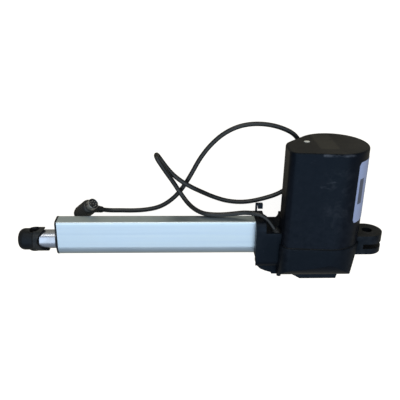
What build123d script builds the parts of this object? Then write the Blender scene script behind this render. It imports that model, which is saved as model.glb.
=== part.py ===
from build123d import *
import math
import os

# Electric linear actuator, lying on its side. Millimetres.
# X runs along the rod, +X towards the rear clevis. Y is the motor's axis, +Y towards the motor's end.
# Z is up. The origin is the centre of the rear clevis pin hole, on the rod's axis.

# ---- driving dimensions ----
FLOOR_Z = -43.0          # the surface that the actuator lies on

ROD_R = 11.0
ROD_WALL = 1.6
EYE_HOLE_X = -392.5
PIN_R = 6.1              # both pin holes

TUBE_END_X = -364.5
TUBE_INNER_X = -126.0    # its other end, in the gear housing
TUBE_LOW_Y = -17.6
TUBE_HIGH_Y = 27.3
TUBE_HALF_Z = 13.4
TUBE_BORE_R = 12.0
TUBE_LOW_CORNER_R = 13.2
TUBE_FRONT_CORNER_R = 2.8  # beside the motor, on the upper face
TUBE_REAR_CORNER_R = 11.8  # beside the motor, on the face towards the floor

HOLDER_LEFT_X = -136.0
LEDGE_Y = 4.0            # where the motor cover meets the gear housing
COVER_TOP_Y = 118.2
COVER_WALL = 2.5
SKIRT_STEP = 2.0         # how far the gear housing stands out beyond the cover

# the cover's plan is the hull of these circles: x, z, radius
PLAN_CIRCLES = [(-52.0, -1.0, 40.2), (-96.5, 25.5, 10.0), (-86.8, 6.5, 20.0)]

GEAR_X = -54.0           # worm wheel's middle plane and the motor's axis
MOTOR_Z = -16.5
WHEEL_TEETH = 24
WHEEL_PITCH_R = 12.0
SPINDLE_R = 5.0

CLEVIS_TOP_Y = 10.2
CLEVIS_LOW_Y = -13.5
SLOT_TOP_Y = -0.5
SLOT_LOW_Y = -6.5
LUG_R = 17.7

CABLE_R = 2.75

CAP_LOW_Y = -47.9        # the base cap's flat underside
LABEL_ANGLES = (-40.0, 57.0)

PLUG_BACK = Vector(-344.2, 16.6, -33.4)
PLUG_AXIS = Vector(0.600, 0.651, 0.467).normalized()
PLUG_R = 9.4
NECK_TIP = Vector(-312.0, 19.0, -38.8)

# the cable's route, from the gland to the plug
CABLE_POINTS = [
    (-114.12, 18.80, 14.86), (-121.7, 30.2, 10.8), (-134.2, 35.0, 6.6), (-147.6, 33.6, 0.4),
    (-160.6, 31.4, -1.0), (-173.4, 30.4, -0.4), (-185.4, 30.3, -0.8), (-196.0, 30.2, -4.2),
    (-205.4, 31.0, -13.6), (-213.6, 34.2, -24.6), (-220.6, 41.4, -32.2), (-226.6, 50.6, -33.0),
    (-231.6, 59.6, -31.6), (-237.4, 69.0, -29.2), (-244.2, 80.4, -27.2), (-251.2, 92.2, -26.6),
    (-251.2, 92.2, -40.25), (-243.4, 80.2, -40.25), (-233.6, 68.6, -36.0), (-221.8, 60.0, -31.8),
    (-209.0, 52.2, -31.8), (-196.4, 44.2, -36.4), (-181.6, 35.9, -40.25),
    (-164.0, 30.2, -40.25), (-143.0, 28.8, -40.25), (-121.0, 33.4, -40.25), (-99.2, 41.2, -40.25),
    (-83.6, 54.6, -40.25), (-76.8, 74.6, -40.25), (-77.4, 97.0, -40.25), (-85.2, 115.6, -40.25),
    (-106.4, 125.7, -40.25), (-130.0, 129.6, -40.25), (-152.6, 127.0, -40.25), (-171.6, 117.6, -40.25),
    (-186.8, 103.6, -40.25), (-199.6, 86.0, -40.25), (-209.4, 66.2, -40.25), (-219.8, 47.8, -40.25),
    (-231.8, 33.4, -40.25), (-247.0, 22.9, -40.25), (-264.0, 18.9, -40.25), (-281.0, 17.8, -40.25),
    (-297.0, 18.2, -40.25), (-310.25, 18.21, -39.95), (-317.56, 21.50, -35.14),
]

GLAND_BASE = Vector(-112.0, 15.6, 16.0)
GLAND_AXIS = Vector(-0.53, 0.80, -0.284).normalized()
NECK_LENGTH = 20.0

PARTS = "parts"
os.makedirs(PARTS, exist_ok=True)


# ---- helpers ----
def save(name, *solids):
    """Write one node as a STEP file holding its separate solids."""
    shapes = []
    for item in solids:
        shapes += list(item.solids())
    shape = shapes[0] if len(shapes) == 1 else Compound(children=shapes)
    export_step(shape, os.path.join(PARTS, name + ".step"))


def rod_x(radius, x0, x1, y=0.0, z=0.0):
    return Pos((x0 + x1) / 2, y, z) * Rot(0, 90, 0) * Cylinder(radius, abs(x1 - x0))


def rod_y(radius, y0, y1, x=0.0, z=0.0):
    return Pos(x, (y0 + y1) / 2, z) * Rot(90, 0, 0) * Cylinder(radius, abs(y1 - y0))


def rod_z(radius, z0, z1, x=0.0, y=0.0):
    return Pos(x, y, (z0 + z1) / 2) * Cylinder(radius, abs(z1 - z0))


def ring_x(outer, inner, x0, x1, y=0.0, z=0.0):
    return rod_x(outer, x0, x1, y, z) - rod_x(inner, x0 - 1, x1 + 1, y, z)


def ring_y(outer, inner, y0, y1, x=0.0, z=0.0):
    return rod_y(outer, y0, y1, x, z) - rod_y(inner, y0 - 1, y1 + 1, x, z)


def block(x0, x1, y0, y1, z0, z1):
    return Pos((x0 + x1) / 2, (y0 + y1) / 2, (z0 + z1) / 2) * Box(x1 - x0, y1 - y0, z1 - z0)


def along_x(sketch, x0, x1):
    """Extrude a sketch whose x is Y and whose y is Z."""
    plane = Plane(origin=(x0, 0, 0), x_dir=(0, 1, 0), z_dir=(1, 0, 0))
    return extrude(plane * sketch, x1 - x0)


def along_y(sketch, y0, y1):
    """Extrude a sketch whose x is X and whose y is -Z."""
    plane = Plane(origin=(0, y0, 0), x_dir=(1, 0, 0), z_dir=(0, 1, 0))
    return extrude(plane * sketch, y1 - y0)


def along_z(points, z0, z1):
    """Extrude a polygon of X, Y points."""
    return extrude(Pos(0, 0, z0) * make_face(Polyline(*points, close=True)), z1 - z0)


def plan(offset):
    """The motor cover's plan outline, moved outwards by offset."""
    edges = ShapeList()
    for x, z, radius in PLAN_CIRCLES:
        edges += (Pos(x, -z) * Circle(radius + offset)).edges()
    return make_hull(edges)


def tube_section(grow=0.0):
    """The outer tube's outline, with wider corners on the side away from the motor."""
    low = TUBE_LOW_Y - grow
    high = TUBE_HIGH_Y + grow
    half = TUBE_HALF_Z + grow
    corners = [(low, -half), (high, -half), (high, half), (low, half)]
    face = make_face(Polyline(*corners, close=True))
    low_corners = [v for v in face.vertices() if v.X < 0]
    face = fillet(low_corners, TUBE_LOW_CORNER_R + grow)
    front = [v for v in face.vertices() if abs(v.X - high) < 0.01 and v.Y > 0]
    face = fillet(front, TUBE_FRONT_CORNER_R + grow)
    rear = [v for v in face.vertices() if abs(v.X - high) < 0.01 and v.Y < 0]
    return fillet(rear, TUBE_REAR_CORNER_R + grow)


def screw(x, y, z, length, radius=1.6, head_r=2.9, axis="x", sign=1):
    """A pan-head screw: its head's top at the point, its shank running back along -sign of the axis."""
    head = 2.0
    if axis == "x":
        return rod_x(head_r, x, x - sign * head, y, z) + rod_x(radius, x, x - sign * length, y, z)
    return rod_y(head_r, y, y - sign * head, x, z) + rod_y(radius, y, y - sign * length, x, z)


# ---- tube and rod ----
def outer_tube():
    body = along_x(tube_section(), TUBE_END_X, TUBE_INNER_X)
    bore = rod_x(TUBE_BORE_R, TUBE_END_X - 1, TUBE_INNER_X + 1)
    channel = block(TUBE_END_X - 1, TUBE_INNER_X + 1, 14.6, 23.6, -8.0, 11.6)
    return body - bore - channel


def end_cap():
    plate = along_x(tube_section(0.2), TUBE_END_X - 2.0, TUBE_END_X)
    sleeve = rod_x(TUBE_BORE_R - 0.1, TUBE_END_X, TUBE_END_X + 16.0)
    tongue = block(TUBE_END_X, TUBE_END_X + 10.0, 14.9, 23.3, -7.7, 11.3)
    cap = plate + sleeve + tongue
    for item in end_cap_screws():
        cap -= item
    return cap - rod_x(ROD_R + 0.05, -380, -340)


def end_cap_screws():
    return [screw(TUBE_END_X - 2.0, 19.2, z, 8.0, sign=-1) for z in (-4.6, 8.0)]


def rod_wiper():
    return ring_x(ROD_R + 1.0, ROD_R + 0.02, TUBE_END_X - 3.2, TUBE_END_X - 2.0)


def piston_rod():
    return ring_x(ROD_R, ROD_R - ROD_WALL, -386.0, -124.0)


def rod_eye():
    barrel = rod_x(12.7, -411.6, -383.0)
    nose = barrel.edges().filter_by(GeomType.CIRCLE).sort_by(Axis.X)[0]
    barrel = fillet(nose, 7.5)
    boss = rod_y(8.4, -11.8, 11.8, EYE_HOLE_X, 0)
    collar = rod_x(14.0, -394.0, -377.0)
    collar = chamfer(collar.edges().filter_by(GeomType.CIRCLE).sort_by(Axis.X)[0], 1.2)
    eye = barrel + collar + boss
    eye -= rod_x(ROD_R, -386.0, -370.0)
    eye -= rod_z(13.4, -20, 20, -374.8, 1.8)
    eye -= rod_y(PIN_R, -20, 20, EYE_HOLE_X, 0)
    for side in (-1, 1):
        flare = Pos(EYE_HOLE_X, side * 11.2, 0) * Rot(-90 * side, 0, 0) * Cone(PIN_R, PIN_R + 1.3, 1.3)
        eye -= flare
    tenon = rod_x(ROD_R - ROD_WALL, -386.0, -380.0)
    return eye + tenon


# ---- drive train inside the tube ----
def spindle():
    shaft = rod_x(SPINDLE_R, -344.0, -16.0)
    collar = rod_x(7.0, -88.0, -82.0)
    return shaft + collar


def spindle_nut():
    nut = rod_x(TUBE_BORE_R - 0.35, -124.0, -116.0) + rod_x(ROD_R - ROD_WALL, -140.0, -124.0)
    return nut - rod_x(SPINDLE_R + 0.05, -150, -110)


def worm_wheel():
    """A toothed ring on the spindle: straight teeth, drawn short of the worm."""
    root = WHEEL_PITCH_R - 1.3
    tip = WHEEL_PITCH_R + 0.5
    wheel = rod_x(root, GEAR_X - 6, GEAR_X + 6)
    for k in range(WHEEL_TEETH):
        turn = 360.0 * k / WHEEL_TEETH
        profile = [(root - 0.5, -0.8), (tip, -0.45), (tip, 0.45), (root - 0.5, 0.8)]
        tooth = along_x(make_face(Polyline(*profile, close=True)), GEAR_X - 5, GEAR_X + 5)
        wheel += Rot(turn, 0, 0) * tooth
    return wheel - rod_x(SPINDLE_R, GEAR_X - 10, GEAR_X + 10)


def ball_bearing():
    """Inner ring, outer ring and balls of the spindle's thrust bearing."""
    x0 = -82.0
    x1 = -72.0
    groove = Pos((x0 + x1) / 2, 0, 0) * Rot(0, 90, 0) * Torus(9.6, 2.6)
    inner = ring_x(8.0, SPINDLE_R, x0, x1) - groove
    outer = ring_x(13.0, 11.2, x0, x1) - groove
    balls = []
    for k in range(8):
        angle = math.radians(45 * k)
        balls.append(Pos((x0 + x1) / 2, 9.6 * math.cos(angle), 9.6 * math.sin(angle)) * Sphere(2.3))
    return inner, outer, balls


def bearing_block():
    """The block that holds the bearing in the gear housing, with a leg each side of the wheel."""
    body = block(-84.0, -70.0, -26.0, 20.0, -15.0, 22.0)
    body -= rod_x(13.0, -83.0, -60)
    body -= rod_x(8.6, -90, -60)
    return body


# ---- housings ----
def rear_draft():
    """The space behind the gear housing's slanting rear face."""
    profile = [(-13.4, LEDGE_Y + 1), (-19.2, -9.0), (-27.4, -43.5), (5.0, -43.5), (5.0, LEDGE_Y + 1)]
    return along_z(profile, -60.0, 60.0)


def skirt_body():
    """The gear housing's round part: the cover's plan a step wider, arched below and drafted at its rear."""
    outline = along_y(plan(SKIRT_STEP), -38.5, LEDGE_Y)
    outline = chamfer([e for e in outline.edges() if abs(e.center().Y - LEDGE_Y) < 0.01], 0.9)
    arch = make_face(Polyline((-38.5, -47.0), (LEDGE_Y, -47.0), (LEDGE_Y, 42.0), (-38.5, 42.0), close=True))
    front_corner = [v for v in arch.vertices() if v.X < -38 and v.Y > 0]
    arch = fillet(front_corner, 30.0)
    back_corner = [v for v in arch.vertices() if v.X < -38 and v.Y < 0]
    arch = fillet(back_corner, 24.0)
    return (outline & along_x(arch, -125.0, 0.0)) - rear_draft()


def tube_holder():
    """The square shoulder that grips the outer tube, with its lower front edge drawn back."""
    holder = block(HOLDER_LEFT_X, -96.0, -28.5, 28.5, -23.0, 23.0)
    holder = fillet(holder.edges().filter_by(Axis.X), 9.0)
    slope = [(HOLDER_LEFT_X - 1, 23.5), (-135.3, 23.5), (-128.4, -23.5), (HOLDER_LEFT_X - 1, -23.5)]
    face = make_face(Polyline(*[(x, -z) for x, z in slope], close=True))
    holder -= along_y(face, -40.0, -14.0)
    pocket = block(-124.6, -96.0, 17.0, 40.0, -30.0, 30.0)
    groove = block(-131.0, -124.0, 27.9, 40.0, 3.0, 30.0)
    return holder - pocket - groove


def cover_fillet():
    """The rounded foot that joins the shoulder to the motor cover's side."""
    foot = block(-111.5, -92.0, 6.0, 26.0, -20.0, 4.0)
    return foot - rod_z(7.0, -30.0, 20.0, -111.5, 24.0) - block(-120.0, -104.5, 24.0, 30.0, -30.0, 20.0)


def housing_foot():
    """The flat feet that the actuator lies on, and the webs that carry them."""
    foot = block(HOLDER_LEFT_X, -22.0, -15.0, LEDGE_Y, FLOOR_Z, -20.0)
    foot += block(-126.5, -24.0, -24.0, -15.0, FLOOR_Z, -20.0)
    gusset = along_z([(-133.0, -20.0), (-133.0, -28.6), (-127.8, -34.0), (-121.6, -36.9), (-108.0, -41.2),
                      (-98.0, -41.2), (-98.0, -20.0)], 2.0, 14.0)
    keel = block(-114.0, -14.5, -41.2, -30.0, -14.0, 14.0)
    keel -= along_z([(-16.6, -29.0), (-20.8, -43.0), (5.0, -43.0), (5.0, -29.0)], -60.0, 60.0)
    return foot + gusset + keel


def gear_housing():
    cover_space = along_y(plan(0.1), LEDGE_Y, 40.0)
    shell = skirt_body() + (tube_holder() - cover_space) + housing_foot() + (cover_fillet() - cover_space)
    hollow = along_y(plan(-1.0), -33.5, LEDGE_Y + 1) & along_x(fillet_hollow(), -98.0, -31.0)
    shell -= hollow
    foot_pocket = block(-128.0, -100.0, -16.0, -6.0, -39.0, -26.0)
    shell -= foot_pocket
    shell -= along_x(tube_section(0.05), HOLDER_LEFT_X - 1, TUBE_INNER_X)
    shell -= rod_x(13.5, TUBE_INNER_X - 1, -90.0)
    shell -= rod_x(8.9, -32.0, 0.0)
    shell -= cable_gland()
    shell -= block(-90.0, -10.0, -45.0, LEDGE_Y, FLOOR_Z - 2.0, FLOOR_Z)
    for item in base_screws():
        shell -= item
    return shell


def fillet_hollow():
    face = make_face(Polyline((-34.0, -39.0), (10.0, -39.0), (10.0, 38.0), (-34.0, 38.0), close=True))
    return fillet([v for v in face.vertices() if v.X < -33], 22.0)


def base_cap():
    """The closing plate under the gear housing, with its sloping end."""
    points = [(-90.5, -41.2), (-79.0, CAP_LOW_Y), (-35.2, CAP_LOW_Y), (-33.6, -41.2)]
    cap = along_z(points, -14.0, 14.0)
    for item in base_screws():
        cap -= item
    return cap


def base_screws():
    return [screw(x, CAP_LOW_Y, 0, 9.6, axis="y", sign=-1) for x in (-74.0, -44.0)]


def spindle_clearance(part):
    """Open a motor cover or gasket wall where the spindle and the clevis stem pass through it."""
    return part - rod_x(14.0, -115.0, -90.0) - rod_x(8.9, -32.0, 0.0)


def motor_cover():
    """The motor's shell: a D-shaped can with a rounded rim and two standing ribs underneath."""
    outer = along_y(plan(0.0), LEDGE_Y + 0.8, COVER_TOP_Y)
    rim = [e for e in outer.edges() if abs(e.center().Y - COVER_TOP_Y) < 0.01]
    outer = fillet(rim, 2.2)
    inner = along_y(plan(-COVER_WALL), LEDGE_Y, COVER_TOP_Y - 3.0)
    cover = outer - inner
    for x in (-68.0, -40.0):
        rib = block(x - 2.0, x + 2.0, 30.0, 106.0, FLOOR_Z, -38.2)
        cover += rib - along_y(plan(-1.5), 0.0, 120.0)
    return spindle_clearance(cover)


def housing_gasket():
    ring = along_y(plan(-0.2), LEDGE_Y, LEDGE_Y + 0.8)
    return spindle_clearance(ring - along_y(plan(-COVER_WALL), LEDGE_Y - 1, LEDGE_Y + 2))


def rear_clevis():
    width = 2 * LUG_R
    lugs = block(-24.0, 0.0, CLEVIS_LOW_Y, CLEVIS_TOP_Y, -LUG_R, LUG_R)
    lugs += rod_y(LUG_R, CLEVIS_LOW_Y, CLEVIS_TOP_Y)
    lugs -= block(-8.0, width, SLOT_LOW_Y, SLOT_TOP_Y, -width, width)
    lugs -= rod_y(PIN_R, -30, 30)
    lugs -= skirt_body()
    lugs -= along_y(plan(0.0), 0.0, 50.0)
    stem = rod_x(8.9, -31.0, -11.5)
    return lugs + stem - rod_x(SPINDLE_R + 0.06, -32.0, -15.0)


# ---- motor ----
def motor_can():
    can = rod_y(20.8, 26.0, 104.0, GEAR_X, MOTOR_Z)
    can -= rod_y(19.4, 27.5, 103.0, GEAR_X, MOTOR_Z)
    can -= rod_y(6.0, 20, 28, GEAR_X, MOTOR_Z)
    return can - rod_y(2.6, 100, 105, GEAR_X, MOTOR_Z)


def motor_magnets():
    magnets = []
    ring = ring_y(19.3, 15.6, 38.0, 82.0, GEAR_X, MOTOR_Z)
    for side in (-1, 1):
        magnets.append(ring & block(GEAR_X + side * 22 - 18, GEAR_X + side * 22 + 18, 30, 90, -33, 0))
    return magnets


def motor_shaft():
    """The rotor's shaft, with the worm on its lower end drawn as separate ridges."""
    shaft = rod_y(2.5, -16.0, 110.0, GEAR_X, MOTOR_Z)
    worm = rod_y(3.0, -12.0, 12.0, GEAR_X, MOTOR_Z)
    pitch = math.pi * 2 * WHEEL_PITCH_R / WHEEL_TEETH
    for k in range(-3, 4):
        y = (k + 0.5) * pitch
        worm += rod_y(3.7, y - 0.4, y + 0.4, GEAR_X, MOTOR_Z)
    return shaft + worm


def armature_core():
    core = rod_y(14.9, 40.0, 80.0, GEAR_X, MOTOR_Z)
    for k in range(5):
        angle = math.radians(72 * k + 18)
        x = GEAR_X + 12.2 * math.cos(angle)
        z = MOTOR_Z + 12.2 * math.sin(angle)
        slot = Pos(x, 60, z) * Rot(0, -math.degrees(angle), 0) * Box(8.0, 50, 2.2)
        core -= slot
    return core - rod_y(2.5, 30, 90, GEAR_X, MOTOR_Z)


def armature_windings():
    coils = []
    for y0, y1 in ((34.0, 40.0), (80.0, 86.0)):
        coils.append(ring_y(12.5, 4.5, y0, y1, GEAR_X, MOTOR_Z))
    return coils


def brushes():
    blocks = []
    for side in (-1, 1):
        x = GEAR_X + side * 9.2
        blocks.append(block(x - 3.0, x + 3.0, 91.0, 96.0, MOTOR_Z - 2.0, MOTOR_Z + 2.0))
    return blocks


def brush_card():
    card = rod_y(19.2, 96.2, 98.0, GEAR_X, MOTOR_Z)
    return card - rod_y(3.5, 90, 100, GEAR_X, MOTOR_Z)


def worm_support():
    """The post that carries the worm's lower bush."""
    post = block(-60.0, -48.0, -30.0, -12.6, -22.5, -10.5)
    return post - rod_y(4.5, -16.0, -10.0, GEAR_X, MOTOR_Z) - rod_y(2.8, -18.0, -10.0, GEAR_X, MOTOR_Z)


# ---- small pieces ----
def cable_gland():
    """The cable's sleeve, standing in the pocket of the tube holder and leaning towards the tube."""
    frame = Plane(origin=GLAND_BASE, z_dir=GLAND_AXIS)
    foot = frame * (Pos(0, 0, -0.5) * Cylinder(4.8, 5.0))
    sleeve = frame * (Pos(0, 0, 3.0) * Cone(4.6, 3.9, 2.0))
    return foot + sleeve


def cable_hook():
    """A small open hook on the shoulder that keeps the cable on the tube's side."""
    stem = block(-135.2, -133.4, 28.5, 42.4, -4.0, 0.5)
    arm = block(-135.2, -127.0, 42.4, 44.4, -4.0, 0.5)
    tip = block(-132.4, -127.0, 38.2, 42.4, -4.0, 0.5)
    return stem + arm + tip


def label():
    x, z, radius = PLAN_CIRCLES[0]
    sheet = ring_y(radius + 0.3, radius, 34.5, 107.0, x, z)
    low, high = [math.radians(a) for a in LABEL_ANGLES]
    fan = [(0.0, 0.0), (90 * math.cos(low), 90 * math.sin(low)), (120.0, 30.0),
           (90 * math.cos(high), 90 * math.sin(high))]
    wedge = along_y(Pos(x, -z) * make_face(Polyline(*[(u, -v) for u, v in fan], close=True)), 20, 110)
    return sheet & wedge


def plug_frame(distance):
    """A frame on the plug's axis, with its z along the axis."""
    return Plane(origin=PLUG_BACK + PLUG_AXIS * distance, z_dir=PLUG_AXIS)


def plug_body():
    barrel = plug_frame(0) * (Pos(0, 0, 9.5) * Cylinder(PLUG_R, 29.0))
    rear = barrel.edges().filter_by(GeomType.CIRCLE).sort_by(Axis.Z)[0]
    barrel = fillet(rear, 6.0)
    return barrel


def neck_start():
    reach = (NECK_TIP - PLUG_BACK).dot(PLUG_AXIS)
    return PLUG_BACK + PLUG_AXIS * reach


def plug_neck():
    start = neck_start()
    direction = (NECK_TIP - start).normalized()
    frame = Plane(origin=start, z_dir=direction)
    cone = frame * (Pos(0, 0, NECK_LENGTH / 2 + 3.0) * Cone(4.3, 3.6, NECK_LENGTH - 6.0))
    return cone - plug_body()


def plug_shell():
    tube = plug_frame(24.0) * (Pos(0, 0, 3.5) * Cylinder(6.6, 7.0))
    return tube - plug_frame(24.0) * (Pos(0, 0, 4.5) * Cylinder(6.0, 8.0))


def plug_insert():
    return plug_frame(24.5) * (Pos(0, 0, 1.5) * Cylinder(5.95, 3.0))


def plug_pins():
    pins = []
    for k in range(7):
        angle = math.radians(-45 + 45 * k)
        spot = Pos(3.6 * math.cos(angle), 3.6 * math.sin(angle), 1.5)
        pins.append(plug_frame(27.5) * (spot * Cylinder(0.7, 3.0)))
    pins.append(plug_frame(27.5) * (Pos(0, 0, 1.5) * Cylinder(0.7, 3.0)))
    return pins


def corner_radii():
    """The radius at each corner of the cable: 0.45 of the shorter run over the tangent of half the turn."""
    radii = []
    points = [Vector(*p) for p in CABLE_POINTS]
    for a, b, c in zip(points, points[1:], points[2:]):
        turn = (b - a).get_angle(c - b)
        shorter = min((b - a).length, (c - b).length)
        radii.append(0.45 * shorter / math.tan(math.radians(turn) / 2))
    return radii


def power_cable():
    radii = corner_radii()
    path = FilletPolyline(*CABLE_POINTS, radius=radii)
    section = Plane(origin=path @ 0, z_dir=path % 0) * Circle(CABLE_R)
    tube = sweep(section, path)
    expected = math.pi * CABLE_R ** 2 * path.length
    print("cable length %.1f, volume ratio %.4f" % (path.length, tube.volume / expected))
    print("radii", " ".join("%d:%.0f" % (k + 1, r) for k, r in enumerate(radii)))
    return tube


# ---- write every node ----
def main():
    save("outer_tube", outer_tube())
    save("end_cap", end_cap())
    save("rod_wiper", rod_wiper())
    save("piston_rod", piston_rod())
    save("rod_eye", rod_eye())
    save("spindle", spindle())
    save("spindle_nut", spindle_nut())
    save("worm_wheel", worm_wheel())
    inner, outer, balls = ball_bearing()
    save("bearing_inner_ring", inner)
    save("bearing_outer_ring", outer)
    save("bearing_balls", *balls)
    save("bearing_block", bearing_block())
    save("gear_housing", gear_housing())
    save("base_cap", base_cap())
    save("motor_cover", motor_cover())
    save("housing_gasket", housing_gasket())
    save("rear_clevis", rear_clevis())
    save("motor_can", motor_can())
    save("motor_magnets", *motor_magnets())
    save("motor_shaft", motor_shaft())
    save("armature_core", armature_core())
    save("armature_windings", *armature_windings())
    save("commutator", ring_y(6.0, 2.5, 88.0, 96.0, GEAR_X, MOTOR_Z))
    save("brushes", *brushes())
    save("brush_card", brush_card())
    save("motor_flange", ring_y(20.8, 3.2, 20.0, 26.0, GEAR_X, MOTOR_Z))
    save("shaft_bushes", ring_y(5.9, 2.55, 26.0, 30.0, GEAR_X, MOTOR_Z),
         ring_y(4.5, 2.55, -16.0, -12.6, GEAR_X, MOTOR_Z))
    save("worm_support", worm_support())
    save("circuit_board", block(-101.0, -99.4, 24.0, 96.0, 5.0, 30.0))
    save("limit_switches", *[block(x, x + 12.0, 16.2, 21.8, -3.0, 3.0) for x in (-352.0, -150.0)])
    save("cable_gland", cable_gland())
    save("cable_hook", cable_hook())
    save("end_cap_screws", *end_cap_screws())
    save("base_screws", *base_screws())
    save("bottom_stud", rod_y(2.6, -45.6, -41.2, -104.0, 10.0))
    save("cover_dot", rod_y(3.2, COVER_TOP_Y, COVER_TOP_Y + 0.4, -80.8, -6.4))
    save("label", label())
    save("plug_body", plug_body())
    save("plug_neck", plug_neck())
    save("plug_shell", plug_shell())
    save("plug_insert", plug_insert())
    save("plug_pins", *plug_pins())
    save("power_cable", power_cable())


main()
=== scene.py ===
"""Looks for the linear actuator: materials, cable, plug mouldings, label, lights and camera."""
import math

import bmesh
import bpy
from mathutils import Matrix, Vector


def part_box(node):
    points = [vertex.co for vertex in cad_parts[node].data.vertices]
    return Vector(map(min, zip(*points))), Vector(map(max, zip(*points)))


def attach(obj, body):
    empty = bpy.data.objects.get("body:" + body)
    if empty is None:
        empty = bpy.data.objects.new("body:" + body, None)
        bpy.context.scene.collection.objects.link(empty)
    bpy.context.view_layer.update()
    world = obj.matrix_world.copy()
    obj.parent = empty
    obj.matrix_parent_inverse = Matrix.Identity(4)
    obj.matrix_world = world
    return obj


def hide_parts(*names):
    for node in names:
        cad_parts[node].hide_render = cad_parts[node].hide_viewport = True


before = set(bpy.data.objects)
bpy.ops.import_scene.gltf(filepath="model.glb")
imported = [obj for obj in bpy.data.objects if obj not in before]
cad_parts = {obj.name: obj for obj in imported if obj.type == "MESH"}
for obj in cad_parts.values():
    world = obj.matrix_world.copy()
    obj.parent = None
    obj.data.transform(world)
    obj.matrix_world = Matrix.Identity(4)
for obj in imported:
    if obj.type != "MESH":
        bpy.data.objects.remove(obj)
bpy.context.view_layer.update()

MM = 0.001
FLOOR_Z = -43.0 * MM          # the plane that the actuator lies on
BODY = "housing"              # the body that everything made here rides on

# the cable's route from the gland to the plug, the same points as the CAD cable's, in metres
CABLE_POINTS = [
    (-0.11412, 0.01880, 0.01486), (-0.12170, 0.03020, 0.01080), (-0.13420, 0.03500, 0.00660),
    (-0.14760, 0.03360, 0.00040), (-0.16060, 0.03140, -0.00100), (-0.17340, 0.03040, -0.00040),
    (-0.18540, 0.03030, -0.00080), (-0.19600, 0.03020, -0.00420), (-0.20540, 0.03100, -0.01360),
    (-0.21360, 0.03420, -0.02460), (-0.22060, 0.04140, -0.03220), (-0.22660, 0.05060, -0.03300),
    (-0.23160, 0.05960, -0.03160), (-0.23740, 0.06900, -0.02920), (-0.24420, 0.08040, -0.02720),
    (-0.25120, 0.09220, -0.02660), (-0.25120, 0.09220, -0.04025), (-0.24340, 0.08020, -0.04025),
    (-0.23360, 0.06860, -0.03600), (-0.22180, 0.06000, -0.03180), (-0.20900, 0.05220, -0.03180),
    (-0.19640, 0.04420, -0.03640), (-0.18160, 0.03590, -0.04025), (-0.16400, 0.03020, -0.04025),
    (-0.14300, 0.02880, -0.04025), (-0.12100, 0.03340, -0.04025), (-0.09920, 0.04120, -0.04025),
    (-0.08360, 0.05460, -0.04025), (-0.07680, 0.07460, -0.04025), (-0.07740, 0.09700, -0.04025),
    (-0.08520, 0.11560, -0.04025), (-0.10640, 0.12570, -0.04025), (-0.13000, 0.12960, -0.04025),
    (-0.15260, 0.12700, -0.04025), (-0.17160, 0.11760, -0.04025), (-0.18680, 0.10360, -0.04025),
    (-0.19960, 0.08600, -0.04025), (-0.20940, 0.06620, -0.04025), (-0.21980, 0.04780, -0.04025),
    (-0.23180, 0.03340, -0.04025), (-0.24700, 0.02290, -0.04025), (-0.26400, 0.01890, -0.04025),
    (-0.28100, 0.01780, -0.04025), (-0.29700, 0.01820, -0.04025), (-0.31025, 0.01821, -0.03995),
    (-0.31756, 0.02150, -0.03514),
]
CABLE_DIAMETER = 5.5 * MM

PLUG_BACK = Vector((-344.2, 16.6, -33.4)) * MM
PLUG_AXIS = Vector((0.600, 0.651, 0.467)).normalized()
NECK_TIP = Vector((-312.0, 19.0, -38.8)) * MM
GLAND_BASE = Vector((-112.0, 15.6, 16.0)) * MM
GLAND_AXIS = Vector((-0.53, 0.80, -0.284)).normalized()

COVER_X = -52.0 * MM          # axis of the cover's round side
COVER_Z = -1.0 * MM
COVER_R = 40.2 * MM


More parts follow.
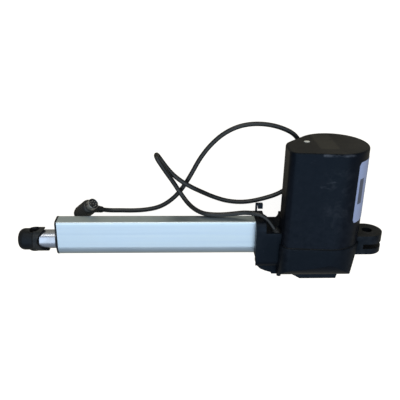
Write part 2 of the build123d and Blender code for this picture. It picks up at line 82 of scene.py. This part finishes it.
# ---------------------------------------------------------------- materials
class Graph:
    """A material's node tree with short ways to add nodes and links."""

    def __init__(self, name):
        self.mat = bpy.data.materials.new(name)
        self.mat.use_nodes = True
        self.tree = self.mat.node_tree
        self.bsdf = self.tree.nodes["Principled BSDF"]
        self.coord = self.add("ShaderNodeTexCoord").outputs["Object"]

    def add(self, kind, **values):
        node = self.tree.nodes.new(kind)
        for key, value in values.items():
            setattr(node, key, value)
        return node

    def link(self, source, target):
        self.tree.links.new(source, target)

    def set(self, **values):
        for key, value in values.items():
            self.bsdf.inputs[key.replace("_", " ")].default_value = value

    def stretched(self, scale):
        """The row frame's coordinates, scaled on each axis: a small number draws a pattern out along it."""
        node = self.add("ShaderNodeMapping")
        node.inputs["Scale"].default_value = scale
        self.link(self.coord, node.inputs["Vector"])
        return node.outputs["Vector"]

    def noise(self, scale, detail=4.0, rough=0.55, vector=None, distortion=0.0):
        node = self.add("ShaderNodeTexNoise")
        node.inputs["Scale"].default_value = scale
        node.inputs["Detail"].default_value = detail
        node.inputs["Roughness"].default_value = rough
        node.inputs["Distortion"].default_value = distortion
        self.link(vector or self.coord, node.inputs["Vector"])
        return node.outputs["Fac"]

    def ramp(self, fac, stops):
        node = self.add("ShaderNodeValToRGB")
        elements = node.color_ramp.elements
        while len(elements) < len(stops):
            elements.new(0.5)
        for element, (place, color) in zip(elements, stops):
            element.position = place
            element.color = (*color, 1.0)
        self.link(fac, node.inputs["Fac"])
        return node.outputs["Color"]

    def span(self, value, low, high, to_low, to_high):
        """Map low..high onto to_low..to_high and hold the ends."""
        node = self.add("ShaderNodeMapRange")
        limits = {"From Min": low, "From Max": high, "To Min": to_low, "To Max": to_high}
        for socket, number in limits.items():
            node.inputs[socket].default_value = number
        self.link(value, node.inputs["Value"])
        return node.outputs["Result"]

    def math(self, kind, a, b):
        node = self.add("ShaderNodeMath", operation=kind)
        for socket, value in zip(node.inputs, (a, b)):
            if isinstance(value, (int, float)):
                socket.default_value = value
            else:
                self.link(value, socket)
        return node.outputs["Value"]

    def mix(self, fac, a, b, blend="MIX"):
        node = self.add("ShaderNodeMix", data_type="RGBA", blend_type=blend)
        for name, value in (("Factor_Float", fac), ("A_Color", a), ("B_Color", b)):
            socket = next(s for s in node.inputs if s.identifier == name)
            if isinstance(value, (int, float)):
                socket.default_value = value
            elif isinstance(value, tuple):
                socket.default_value = (*value, 1.0)
            else:
                self.link(value, socket)
        return next(s for s in node.outputs if s.identifier == "Result_Color")

    def inside(self, low, high, soft):
        """1 inside a box of the row frame and 0 outside it, in mm. None leaves that side open."""
        split = self.add("ShaderNodeSeparateXYZ")
        self.link(self.coord, split.inputs["Vector"])
        mask = None
        half = soft * MM / 2
        for socket, start, stop in zip(split.outputs, low, high):
            parts = []
            if start is not None:
                parts.append(self.span(socket, start * MM - half, start * MM + half, 0.0, 1.0))
            if stop is not None:
                parts.append(self.span(socket, stop * MM - half, stop * MM + half, 1.0, 0.0))
            for part in parts:
                mask = part if mask is None else self.math("MULTIPLY", mask, part)
        return mask

    def bump(self, height, strength, distance, below=None):
        node = self.add("ShaderNodeBump")
        node.inputs["Strength"].default_value = strength
        node.inputs["Distance"].default_value = distance
        self.link(height, node.inputs["Height"])
        if below is not None:
            self.link(below, node.inputs["Normal"])
        return node.outputs["Normal"]

    def round_edges(self, radius):
        """Normals that catch the light along edges as if they were rounded."""
        node = self.add("ShaderNodeBevel", samples=4)
        node.inputs["Radius"].default_value = radius
        return node.outputs["Normal"]


PLASTIC_SPECULAR = 0.2
PLASTIC_TINT = (0.5, 0.72, 1.0, 1.0)


def moulded_plastic(name, dark, light, rough, grain, wear, edge=0.6 * MM, marks=None):
    """Moulded black plastic: spark-eroded grain, cloudy gloss, rubbed edges and a few fine scratches.

    marks(graph, color) may add what is printed, scuffed or sunk in one place, and returns the new colour."""
    g = Graph(name)
    cloud = g.noise(38.0, 5.0, 0.6)
    patch = g.noise(9.0, 3.0, 0.5, distortion=0.6)
    color = g.mix(g.span(cloud, 0.3, 0.72, 0.0, 1.0), dark, light)
    scratch_a = g.noise(60.0, 2.0, 0.5, g.stretched((1.0, 14.0, 22.0)), 0.4)
    scratch_b = g.noise(70.0, 2.0, 0.5, g.stretched((18.0, 1.2, 16.0)), 0.3)
    scratch = g.math("MAXIMUM", scratch_a, scratch_b)
    lines = g.span(scratch, 0.70, 0.78, 0.0, wear * 0.35)
    scratched = tuple(min(1.0, 6.0 * c + 0.03) for c in light)
    color = g.mix(lines, color, scratched)
    geometry = g.add("ShaderNodeNewGeometry")
    edges = g.span(geometry.outputs["Pointiness"], 0.53, 0.62, 0.0, wear * 0.5)
    broken = g.math("MULTIPLY", edges, g.span(g.noise(160.0, 4.0), 0.35, 0.65, 0.2, 1.0))
    rubbed = tuple(min(1.0, 4.0 * c + 0.02) for c in light)
    color = g.mix(broken, color, rubbed)
    if marks:
        color = marks(g, color)
    g.link(color, g.bsdf.inputs["Base Color"])
    gloss = g.math("ADD", g.span(patch, 0.3, 0.7, rough - 0.06, rough + 0.07),
                   g.span(cloud, 0.3, 0.7, -0.03, 0.03))
    g.link(gloss, g.bsdf.inputs["Roughness"])
    g.set(Specular_IOR_Level=PLASTIC_SPECULAR, Specular_Tint=PLASTIC_TINT)
    fine = g.noise(1500.0, 3.0, 0.6)
    coarse = g.noise(420.0, 3.0, 0.6)
    height = g.math("ADD", g.math("MULTIPLY", fine, 0.6), coarse)
    normal = g.bump(height, grain, 0.15 * MM, g.round_edges(edge))
    sink = g.noise(22.0, 2.0, 0.4)
    normal = g.bump(sink, 0.12, 0.9 * MM, normal)
    g.link(normal, g.bsdf.inputs["Normal"])
    return g.mat


def anodised_aluminium():
    """Satin anodised extrusion: die lines along the tube, faint blotches and small nicks."""
    g = Graph("tube_anodised")
    lines = g.noise(900.0, 3.0, 0.6, g.stretched((0.006, 1.0, 1.0)))
    broad = g.noise(140.0, 2.0, 0.5, g.stretched((0.02, 1.0, 1.0)))
    blotch = g.noise(14.0, 4.0, 0.6)
    tone = g.ramp(g.math("ADD", g.math("MULTIPLY", broad, 0.6), g.math("MULTIPLY", blotch, 0.4)),
                  [(0.32, (0.66, 0.79, 0.93)), (0.5, (0.73, 0.86, 0.99)), (0.7, (0.79, 0.91, 1.0))])
    nick = g.span(g.noise(120.0, 2.0, 0.5, g.stretched((1.0, 5.0, 5.0)), 0.5), 0.74, 0.80, 0.0, 0.35)
    tone = g.mix(nick, tone, (0.42, 0.45, 0.50))
    g.link(tone, g.bsdf.inputs["Base Color"])
    g.set(Metallic=1.0)
    rough = g.math("ADD", g.span(lines, 0.3, 0.7, 0.30, 0.40), g.span(blotch, 0.3, 0.7, -0.03, 0.05))
    g.link(rough, g.bsdf.inputs["Roughness"])
    normal = g.bump(lines, 0.10, 0.05 * MM, g.round_edges(0.25 * MM))
    g.link(normal, g.bsdf.inputs["Normal"])
    return g.mat


def turned_metal(name, color, rough=0.28, ring_scale=(1.0, 0.05, 0.05), stain=(0.30, 0.27, 0.22)):
    """Ground or turned metal: fine rings round the rod and a faint stain of grease."""
    g = Graph(name)
    rings = g.noise(1100.0, 2.0, 0.6, g.stretched(ring_scale))
    smear = g.noise(26.0, 4.0, 0.6, distortion=0.8)
    tone = g.mix(g.span(smear, 0.52, 0.75, 0.0, 0.35), color, stain)
    g.link(tone, g.bsdf.inputs["Base Color"])
    g.set(Metallic=1.0)
    g.link(g.math("ADD", g.span(rings, 0.3, 0.7, rough - 0.05, rough + 0.05),
                  g.span(smear, 0.4, 0.7, 0.0, 0.10)), g.bsdf.inputs["Roughness"])
    g.link(g.bump(rings, 0.10, 0.04 * MM, g.round_edges(0.2 * MM)), g.bsdf.inputs["Normal"])
    return g.mat


def sheath(name, dark, light, rough=0.38):
    """PVC or rubber: soft sheen, slightly uneven surface and handling marks."""
    g = Graph(name)
    uneven = g.noise(90.0, 3.0, 0.5)
    marks = g.noise(30.0, 5.0, 0.65, distortion=0.7)
    tone = g.mix(g.span(marks, 0.5, 0.75, 0.0, 1.0), dark, light)
    g.link(tone, g.bsdf.inputs["Base Color"])
    g.link(g.math("ADD", g.span(marks, 0.3, 0.7, rough - 0.06, rough + 0.10),
                  g.span(uneven, 0.3, 0.7, -0.03, 0.03)), g.bsdf.inputs["Roughness"])
    g.set(Specular_IOR_Level=0.55)
    normal = g.bump(uneven, 0.20, 0.25 * MM)
    g.link(g.bump(g.noise(1300.0, 2.0, 0.5), 0.08, 0.1 * MM, normal), g.bsdf.inputs["Normal"])
    return g.mat


def printed_film(name, color, soil=(0.62, 0.62, 0.66), rough=0.35):
    """A printed plastic film: faint soiling and a slight orange-peel gloss."""
    g = Graph(name)
    dirt = g.noise(45.0, 5.0, 0.65, distortion=0.4)
    g.link(g.mix(g.span(dirt, 0.5, 0.8, 0.0, 0.5), color, soil), g.bsdf.inputs["Base Color"])
    g.link(g.span(dirt, 0.3, 0.7, rough - 0.06, rough + 0.10), g.bsdf.inputs["Roughness"])
    g.link(g.bump(g.noise(500.0, 2.0, 0.5), 0.05, 0.05 * MM), g.bsdf.inputs["Normal"])
    return g.mat


# the colours of the cover's lighter band, painted shade in sunk marks, painted rim highlight, scuffs and
# haze
LIGHTER_BAND = (0.040, 0.038, 0.032)
PAINTED_SUNK_SHADE = (0.002, 0.002, 0.002)
PAINTED_RIM_HIGHLIGHT = (0.13, 0.14, 0.17)
SCUFFED = (0.12, 0.13, 0.16)
HAZY = (0.035, 0.037, 0.046)
COVER_END_Y = 117.4           # in mm, just inside the flat face of the cover's end


def cover_marks(g, color):
    """The cover's own marks: a lighter band, painted shade in a line and a dimple on its end, a painted
    highlight along its rim, and scuffs.
    """
    # a lighter, warmer band across the cover's end
    band = g.inside((-71, COVER_END_Y, -34), (-50, None, 20), 2.0)
    color = g.mix(g.math("MULTIPLY", band, 0.7), color, LIGHTER_BAND)
    # painted shade in a groove line and a dimple on the cover's end
    line = g.inside((-43.8, COVER_END_Y, -30), (-43.1, None, 13), 0.3)
    color = g.mix(line, color, PAINTED_SUNK_SHADE)
    dimple = g.inside((-53.8, COVER_END_Y, -15.6), (-51.0, None, -12.6), 0.8)
    color = g.mix(dimple, color, PAINTED_SUNK_SHADE)
    # painted highlight along the front rim of the cover's end, broken into streaks
    rim = g.inside((-72, 115.2, 36.4), (-36, 117.6, None), 1.6)
    highlight_streaks = g.span(g.noise(55.0, 4.0, 0.7, g.stretched((0.5, 1.0, 1.0))), 0.42, 0.62, 0.0, 0.75)
    color = g.mix(g.math("MULTIPLY", rim, highlight_streaks), color, PAINTED_RIM_HIGHLIGHT)
    scuff = g.inside((-72, 79, 30), (-55, 88, None), 5.0)
    streak = g.span(g.noise(80.0, 3.0, 0.6, g.stretched((0.5, 1.6, 1.0)), 0.8), 0.54, 0.68, 0.0, 0.55)
    color = g.mix(g.math("MULTIPLY", scuff, streak), color, SCUFFED)
    haze = g.inside((-66, 30, 20), (-36, 100, None), 16.0)
    mottle = g.span(g.noise(70.0, 5.0, 0.7, distortion=0.8), 0.50, 0.72, 0.0, 0.5)
    return g.mix(g.math("MULTIPLY", haze, mottle), color, HAZY)


COVER = moulded_plastic("cover_black", (0.0012, 0.0016, 0.0040), (0.0030, 0.0038, 0.0072),
                        rough=0.36, grain=0.07, wear=0.5, edge=1.2 * MM, marks=cover_marks)
HOUSING = moulded_plastic("housing_black", (0.0018, 0.0026, 0.0050), (0.0040, 0.0052, 0.0086),
                          rough=0.42, grain=0.12, wear=0.6)
CLEVIS = moulded_plastic("clevis_black", (0.0016, 0.0018, 0.0028), (0.0042, 0.0044, 0.0060),
                         rough=0.40, grain=0.12, wear=0.8, edge=0.8 * MM)
EYE = moulded_plastic("eye_black", (0.0075, 0.0075, 0.0080), (0.0200, 0.0190, 0.0180),
                      rough=0.38, grain=0.16, wear=1.0)
CAP = moulded_plastic("cap_black", (0.0100, 0.0110, 0.0130), (0.0190, 0.0200, 0.0230),
                      rough=0.45, grain=0.10, wear=0.5, edge=0.3 * MM)
TUBE = anodised_aluminium()
ROD = turned_metal("rod_steel", (0.63, 0.68, 0.80), 0.24)
STEEL = turned_metal("bright_steel", (0.55, 0.55, 0.56), 0.32, (1.0, 1.0, 1.0))
BLACK_STEEL = turned_metal("black_steel", (0.10, 0.10, 0.11), 0.38, (1.0, 1.0, 1.0))
IRON = turned_metal("core_iron", (0.22, 0.22, 0.23), 0.45, (0.1, 4.0, 0.1))
COPPER = turned_metal("copper_wire", (0.75, 0.36, 0.20), 0.30, (0.2, 5.0, 0.2), (0.35, 0.14, 0.07))
BRASS = turned_metal("brass_part", (0.76, 0.58, 0.28), 0.30, (1.0, 1.0, 1.0), (0.35, 0.25, 0.12))
NICKEL = turned_metal("plug_metal", (0.52, 0.52, 0.52), 0.30, (1.0, 1.0, 1.0))
CABLE = sheath("cable_black", (0.010, 0.011, 0.013), (0.020, 0.021, 0.024), 0.34)
PVC = sheath("plug_black", (0.013, 0.013, 0.015), (0.028, 0.028, 0.029), 0.40)
RUBBER = sheath("seal_rubber", (0.011, 0.011, 0.012), (0.022, 0.022, 0.023), 0.60)
CARD = sheath("card_plastic", (0.02, 0.11, 0.05), (0.03, 0.16, 0.08), 0.45)
ACETAL = sheath("wheel_plastic", (0.66, 0.64, 0.56), (0.76, 0.74, 0.67), 0.40)
# the label is white; its colour and its soiling are painted darker and bluer as shade
LABEL_FILM_PAINTED_SHADE = printed_film("label_white", (0.44, 0.50, 0.76), (0.36, 0.39, 0.54))
INK = printed_film("label_ink", (0.11, 0.12, 0.17), (0.18, 0.19, 0.24))
DOT = printed_film("dot_white", (0.88, 0.88, 0.84))

NODE_MATERIALS = {
    # what is seen
    "motor_cover": COVER, "gear_housing": HOUSING, "base_cap": HOUSING, "bottom_stud": HOUSING,
    "cable_hook": HOUSING, "rear_clevis": CLEVIS, "rod_eye": EYE, "end_cap": CAP, "outer_tube": TUBE,
    "piston_rod": ROD, "rod_wiper": RUBBER, "end_cap_screws": BLACK_STEEL, "base_screws": BLACK_STEEL,
    "label": LABEL_FILM_PAINTED_SHADE, "cover_dot": DOT,
    # the cable and its plug
    "power_cable": CABLE, "cable_gland": RUBBER, "plug_body": PVC, "plug_neck": PVC, "plug_insert": PVC,
    "plug_shell": NICKEL, "plug_pins": NICKEL,
    # the screw and its bearing
    "spindle": STEEL, "spindle_nut": BRASS, "worm_wheel": ACETAL, "bearing_inner_ring": STEEL,
    "bearing_outer_ring": STEEL, "bearing_balls": STEEL, "bearing_block": STEEL, "housing_gasket": RUBBER,
    # the motor and its switches
    "motor_can": STEEL, "motor_flange": STEEL, "motor_shaft": STEEL, "worm_support": STEEL,
    "shaft_bushes": BRASS, "motor_magnets": IRON, "armature_core": IRON, "armature_windings": COPPER,
    "commutator": COPPER, "brushes": BLACK_STEEL, "brush_card": CARD, "circuit_board": CARD,
    "limit_switches": PVC,
}


def dress_nodes():
    """Give every CAD node its material."""
    for name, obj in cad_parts.items():
        obj.data.materials.clear()
        obj.data.materials.append(NODE_MATERIALS[name])


# ---------------------------------------------------------------- mesh helpers
def add_piece(name, bm, material, smooth=True):
    """Turn a bmesh into an object with a material."""
    mesh = bpy.data.meshes.new(name)
    bmesh.ops.recalc_face_normals(bm, faces=bm.faces)
    bm.to_mesh(mesh)
    bm.free()
    mesh.materials.append(material)
    for polygon in mesh.polygons:
        polygon.use_smooth = smooth
    obj = bpy.data.objects.new(name, mesh)
    bpy.context.scene.collection.objects.link(obj)
    return obj


def axis_frame(origin, axis):
    """A matrix whose z runs along the axis, with its x as level as it can be."""
    z = axis.normalized()
    x = Vector((0, 0, 1)).cross(z).normalized()
    y = z.cross(x)
    matrix = Matrix((x, y, z)).transposed().to_4x4()
    matrix.translation = origin
    return matrix


def lathe(name, profile, matrix, material, segments=64, ripple=None):
    """Turn a profile of (radius, height) points, in mm, about the matrix's z axis.

    ripple(angle, radius, height) may return a changed radius, for ribs and flats."""
    bm = bmesh.new()
    rings = []
    for radius, height in profile:
        ring = []
        for k in range(segments):
            angle = 2 * math.pi * k / segments
            r = ripple(angle, radius, height) if ripple else radius
            point = Vector((r * math.cos(angle), r * math.sin(angle), height)) * MM
            ring.append(bm.verts.new(matrix @ point))
        rings.append(ring)
    for low, high in zip(rings, rings[1:]):
        for k in range(segments):
            bm.faces.new((low[k], low[(k + 1) % segments], high[(k + 1) % segments], high[k]))
    bm.faces.new(rings[0][::-1])
    bm.faces.new(rings[-1])
    return add_piece(name, bm, material)


TURNED_EDGE = 40.0            # in degrees, the least edge of a turned piece that stays sharp
PATCH_EDGE = 32.0             # the same for a thin patch


def sharp(obj, angle):
    """Shade smooth but keep edges above the angle sharp."""
    obj.data.set_sharp_from_angle(angle=math.radians(angle))
    return obj


def stand_for(obj, slot, *nodes):
    """Let a piece ride on the housing and hide the CAD nodes that it replaces; the slot is not used."""
    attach(obj, BODY)
    if nodes:
        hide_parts(*nodes)
    return obj


# ---------------------------------------------------------------- cable and plug
def make_cable():
    """The cable as one curve."""
    curve = bpy.data.curves.new("power_lead", "CURVE")
    curve.dimensions = "3D"
    spline = curve.splines.new("NURBS")
    spline.points.add(len(CABLE_POINTS) - 1)
    for point, place in zip(spline.points, CABLE_POINTS):
        point.co = (*place, 1.0)
    spline.order_u = 3
    spline.use_endpoint_u = True
    spline.resolution_u = 10
    curve.bevel_depth = CABLE_DIAMETER / 2
    curve.bevel_resolution = 6
    curve.use_fill_caps = True
    curve.materials.append(CABLE)
    obj = bpy.data.objects.new("power_lead", curve)
    bpy.context.scene.collection.objects.link(obj)
    return stand_for(obj, "cable_black", "power_cable")


# profiles are (radius, height) points along the piece's axis, in mm
PLUG_BACK_EDGE = [(0.4, -5.0), (3.6, -4.9), (5.8, -4.3), (7.4, -3.2), (8.3, -1.9), (8.7, -0.6),
                  (8.85, 0.2)]
PLUG_GRIP = [(9.4, 6.4), (9.4, 8.0), (9.4, 12.0), (9.4, 17.0)]
PLUG_FRONT_EDGE = [(9.35, 20.6), (9.0, 22.2), (8.3, 23.3), (7.4, 23.85), (6.7, 24.0), (0.4, 24.0)]
PLUG_GROOVES = (0.6, 3.4)     # where the two grooves begin, in mm from the plug's back
PLUG_FRONT = 24.0
PROFILE_STEP = 1.2            # in mm, about how far apart the rings of points are
GRIP_RIBS = 24
GRIP_RIB_DEPTH = 0.28
GRIP_START, GRIP_STOP = 9.0, 19.0


def make_plug_body():
    """The plug's overmould: rounded back with two grooves and fine grip ribs on its sides."""
    profile = list(PLUG_BACK_EDGE)
    for start in PLUG_GROOVES:
        profile += [(8.9, start), (8.9, start + 0.3), (8.2, start + 0.45), (8.2, start + 1.15),
                    (9.2, start + 1.3), (9.35, start + 1.5)]
    profile += PLUG_GRIP + PLUG_FRONT_EDGE

    def ribs(angle, radius, height):
        if GRIP_START < height < GRIP_STOP:
            return radius - GRIP_RIB_DEPTH * max(0.0, math.cos(GRIP_RIBS * angle)) ** 2
        return radius

    dense = []
    for (r0, h0), (r1, h1) in zip(profile, profile[1:]):
        steps = max(1, int(abs(h1 - h0) / PROFILE_STEP))
        dense += [(r0 + (r1 - r0) * k / steps, h0 + (h1 - h0) * k / steps) for k in range(steps)]
    dense.append(profile[-1])
    obj = lathe("plug_overmould", dense, axis_frame(PLUG_BACK, PLUG_AXIS), PVC, 192, ribs)
    return stand_for(sharp(obj, TURNED_EDGE), "plug_black", "plug_body")


def neck_frame():
    """The neck's own frame: from the plug's axis beside the neck's tip, out to that tip."""
    start = PLUG_BACK + PLUG_AXIS * (NECK_TIP - PLUG_BACK).dot(PLUG_AXIS)
    return axis_frame(start, NECK_TIP - start)


BOOT_RINGS = 4
BOOT_RING_PITCH = 2.3
BOOT_TAPER = 0.2              # how much smaller each ring's radius is than the last one's
BOOT_SLOT_DEPTH = 0.7


def make_plug_neck():
    """The strain relief: a boot with ring slots that gets thinner towards the cable."""
    profile = [(0.4, 5.0), (5.0, 5.0), (5.0, 8.6), (4.8, 9.4)]
    for k in range(BOOT_RINGS):
        z = 9.6 + BOOT_RING_PITCH * k
        r = 4.6 - BOOT_TAPER * k
        slot_r = r - BOOT_SLOT_DEPTH
        profile += [(r, z), (r + 0.05, z + 0.2), (r, z + 1.1), (slot_r, z + 1.25), (slot_r, z + 2.1)]
    profile += [(3.75, 19.0), (3.6, 19.7), (3.2, 20.0), (0.4, 20.0)]
    obj = lathe("plug_boot", profile, neck_frame(), PVC, 48)
    return stand_for(sharp(obj, TURNED_EDGE), "plug_black", "plug_neck")


KEY_ANGLE = 0.6               # in radians, round the skirt
KEY_WIDTH = 0.13
KEY_DEPTH = 0.9


def make_plug_shell():
    """The plug's metal skirt with a rolled rim and a key groove."""
    profile = [(6.0, 1.5), (6.55, 1.0), (6.6, 0.0), (6.6, 5.9), (6.62, 6.4), (6.5, 6.85), (6.25, 7.0),
               (6.02, 6.8), (6.0, 6.3), (6.0, 1.5)]

    def key(angle, radius, height):
        turn = (angle - KEY_ANGLE + math.pi) % (2 * math.pi) - math.pi
        return radius - KEY_DEPTH * math.exp(-(turn / KEY_WIDTH) ** 2)

    matrix = axis_frame(PLUG_BACK + PLUG_AXIS * PLUG_FRONT * MM, PLUG_AXIS)
    obj = lathe("plug_skirt", profile, matrix, NICKEL, 128, key)
    # the profile is a closed loop, so its two end rings are joined instead of capped
    bm = bmesh.new()
    bm.from_mesh(obj.data)
    caps = [f for f in bm.faces if len(f.verts) > 4]
    bmesh.ops.delete(bm, geom=caps, context="FACES_ONLY")
    bmesh.ops.remove_doubles(bm, verts=bm.verts, dist=1e-7)
    bmesh.ops.recalc_face_normals(bm, faces=bm.faces)
    bm.to_mesh(obj.data)
    bm.free()
    return stand_for(sharp(obj, TURNED_EDGE), "plug_metal", "plug_shell")


def make_gland():
    """The rubber grommet that the cable leaves the housing by."""
    profile = [(0.4, -3.0), (4.8, -3.0), (4.8, 1.2), (4.65, 1.8), (4.3, 2.0), (4.3, 2.5), (4.5, 2.8),
               (4.5, 3.3), (4.2, 3.7), (3.7, 4.0), (2.9, 4.1), (0.4, 4.1)]
    obj = lathe("cable_grommet", profile, axis_frame(GLAND_BASE, GLAND_AXIS), RUBBER, 48)
    return stand_for(sharp(obj, TURNED_EDGE), "gland_rubber", "cable_gland")


# ---------------------------------------------------------------- label and marks
PATCH_ROWS = 14
PATCH_STEP = 3                # in degrees, the width of a column


def corner_pull(edge, corner):
    """How far a round corner draws a patch's top and bottom in, this far from the patch's side."""
    if edge >= corner:
        return 0.0
    return corner - math.sqrt(max(0.0, corner ** 2 - (corner - edge) ** 2))


def curved_patch(name, angles, heights, radius, thick, material, corner=0.0):
    """A thin patch on the cover's round side. Angles in degrees from +X towards +Z, sizes in mm."""
    bm = bmesh.new()
    turn = angles[1] - angles[0]
    across = turn * math.radians(1) * radius
    columns = max(6, int(turn / PATCH_STEP))

    def grid(layer):
        r = (radius + layer) * MM
        lines = []
        for i in range(columns + 1):
            u = i / columns
            pull = corner_pull(min(u, 1 - u) * across, corner)
            low, high = heights[0] + pull, heights[1] - pull
            angle = math.radians(angles[0] + turn * u)
            x = COVER_X + r * math.cos(angle)
            z = COVER_Z + r * math.sin(angle)
            rows = [low + (high - low) * (j / PATCH_ROWS) for j in range(PATCH_ROWS + 1)]
            lines.append([bm.verts.new((x, y * MM, z)) for y in rows])
        return lines

    inner, outer = grid(0.0), grid(thick)
    for side in (inner, outer):
        for i in range(columns):
            for j in range(PATCH_ROWS):
                bm.faces.new((side[i][j], side[i + 1][j], side[i + 1][j + 1], side[i][j + 1]))
    for i in range(columns):
        for j in (0, PATCH_ROWS):
            bm.faces.new((inner[i][j], inner[i + 1][j], outer[i + 1][j], outer[i][j]))
    for j in range(PATCH_ROWS):
        for i in (0, columns):
            bm.faces.new((inner[i][j], inner[i][j + 1], outer[i][j + 1], outer[i][j]))
    return add_piece(name, bm, material)


LABEL_ANGLES = (-40, 57)
LABEL_HEIGHTS = (34.5, 107)
LABEL_THICK = 0.3
LABEL_CORNER = 4.0
INK_THICK = 0.06


def make_label():
    """The film on the cover's side with a few plain blocks in place of its print."""
    radius = COVER_R / MM
    film = curved_patch("side_label", LABEL_ANGLES, LABEL_HEIGHTS, radius, LABEL_THICK, LABEL_FILM_PAINTED_SHADE, LABEL_CORNER)
    stand_for(sharp(film, PATCH_EDGE), "label_white", "label")
    blocks = [((41, 52), (57, 87)), ((-6, 22), (84, 100))]
    for k in range(5):
        blocks.append(((-8, 22 - 5 * (k % 2)), (76 - 6 * k, 78 - 6 * k)))
    for k, (angles, heights) in enumerate(blocks):
        name = "label_block_%d" % (k + 1)
        patch = curved_patch(name, angles, heights, radius + LABEL_THICK, INK_THICK, INK)
        stand_for(sharp(patch, PATCH_EDGE), "label_white")


def make_dot():
    """The inspector's paint dot: a flat drop with a soft edge."""
    low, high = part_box("cover_dot")
    centre = Vector(((low[0] + high[0]) / 2, low[1], (low[2] + high[2]) / 2))
    profile = [(3.3, 0.0), (3.25, 0.12), (3.0, 0.25), (2.2, 0.34), (1.0, 0.38), (0.1, 0.38)]

    def wobble(angle, radius, height):
        return radius * (1 + 0.05 * math.sin(2 * angle + 0.7) + 0.03 * math.sin(5 * angle))

    obj = lathe("paint_dot", profile, axis_frame(centre, Vector((0, 1, 0))), DOT, 48, wobble)
    return stand_for(obj, "dot_white", "cover_dot")


# ---------------------------------------------------------------- stage, lights and camera
FLOOR_SIZE = 4.0
FLOOR_PLACE = (-0.2, 0.0, FLOOR_Z - 0.1 * MM)
FLOOR_COLORS = ((0.44, 0.37, 0.27), (0.48, 0.40, 0.30))
FLOOR_GLOW = 0.92
WHITE = (1.0, 1.0, 1.0, 1.0)
ROOM_COLOR = (0.80, 0.90, 1.0, 1.0)
ROOM_STRENGTH = 0.30

# name, place, point that it faces, size, power in watts, colour
AREA_LIGHTS = [
    ("overhead", (-0.10, 0.27, 1.3), (-0.1, 0.27, 0.0), (2.4, 2.05), 14.5, (0.80, 0.92, 1.0)),
    ("window", (-0.25, 1.3, 0.45), (-0.15, 0.05, 0.0), (0.9, 0.30), 3.4, (1.0, 0.93, 0.78)),
]

CAMERA_PLACE = Vector((-228.9, 307.0, 593.7)) * MM
CAMERA_FORWARD = Vector((0.04402, -0.3977, -0.91645)).normalized()
CAMERA_RIGHT = Vector((0.99903, 0.01651, 0.04082)).normalized()
CAMERA_SENSOR = 36.0
CAMERA_LENS = 50.52


def split_by_ray(tree, lighting, seen, output):
    """Use one shader for the light that is given back and another for what the camera sees."""
    path = tree.nodes.new("ShaderNodeLightPath")
    choice = tree.nodes.new("ShaderNodeMixShader")
    tree.links.new(path.outputs["Is Camera Ray"], choice.inputs[0])
    tree.links.new(lighting.outputs[0], choice.inputs[1])
    tree.links.new(seen.outputs[0], choice.inputs[2])
    tree.links.new(choice.outputs[0], tree.nodes[output].inputs["Surface"])


def floor_material():
    """A white table to the camera; a duller, warmer one in the light that it gives back."""
    g = Graph("pale_floor")
    g.link(g.mix(g.noise(3.0, 2.0), *FLOOR_COLORS), g.bsdf.inputs["Base Color"])
    g.set(Roughness=0.9, Specular_IOR_Level=0.05)
    glow = g.add("ShaderNodeEmission")
    glow.inputs["Color"].default_value = WHITE
    glow.inputs["Strength"].default_value = FLOOR_GLOW
    both = g.add("ShaderNodeAddShader")
    g.link(glow.outputs[0], both.inputs[0])
    g.link(g.bsdf.outputs[0], both.inputs[1])
    split_by_ray(g.tree, g.bsdf, both, "Material Output")
    return g.mat


def make_floor():
    bm = bmesh.new()
    bmesh.ops.create_grid(bm, x_segments=1, y_segments=1, size=FLOOR_SIZE)
    floor = add_piece("floor", bm, floor_material(), smooth=False)
    floor.location = FLOOR_PLACE


def make_world():
    """Dim, cool room light with a white backdrop."""
    world = bpy.data.worlds.new("studio")
    world.use_nodes = True
    tree = world.node_tree
    room = tree.nodes["Background"]
    room.inputs["Color"].default_value = ROOM_COLOR
    room.inputs["Strength"].default_value = ROOM_STRENGTH
    backdrop = tree.nodes.new("ShaderNodeBackground")
    backdrop.inputs["Color"].default_value = WHITE
    split_by_ray(tree, room, backdrop, "World Output")
    bpy.context.scene.world = world


def area_light(name, place, target, size, power, color):
    light = bpy.data.lights.new(name, "AREA")
    light.shape = "RECTANGLE"
    light.size, light.size_y = size
    light.energy = power
    light.color = color
    obj = bpy.data.objects.new(name, light)
    obj.location = place
    obj.rotation_euler = (Vector(target) - Vector(place)).to_track_quat("-Z", "Y").to_euler()
    bpy.context.scene.collection.objects.link(obj)


def make_camera():
    camera = bpy.data.cameras.new("camera")
    camera.sensor_width = CAMERA_SENSOR
    camera.lens = CAMERA_LENS
    camera.clip_start = 10 * MM
    obj = bpy.data.objects.new("camera", camera)
    up = CAMERA_RIGHT.cross(CAMERA_FORWARD).normalized()
    right = CAMERA_FORWARD.cross(up).normalized()
    matrix = Matrix((right, up, -CAMERA_FORWARD)).transposed().to_4x4()
    matrix.translation = CAMERA_PLACE
    obj.matrix_world = matrix
    bpy.context.scene.collection.objects.link(obj)
    bpy.context.scene.camera = obj


# ---------------------------------------------------------------- the scene
dress_nodes()
on_cord = [make_plug_body(), make_plug_neck(), make_plug_shell()]
on_cord += [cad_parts[name] for name in ("plug_insert", "plug_pins")]
make_gland()
lead = make_cable()
make_label()
make_dot()
make_floor()
make_world()
for light_values in AREA_LIGHTS:
    area_light(*light_values)
make_camera()
bpy.context.scene.view_settings.view_transform = "Standard"
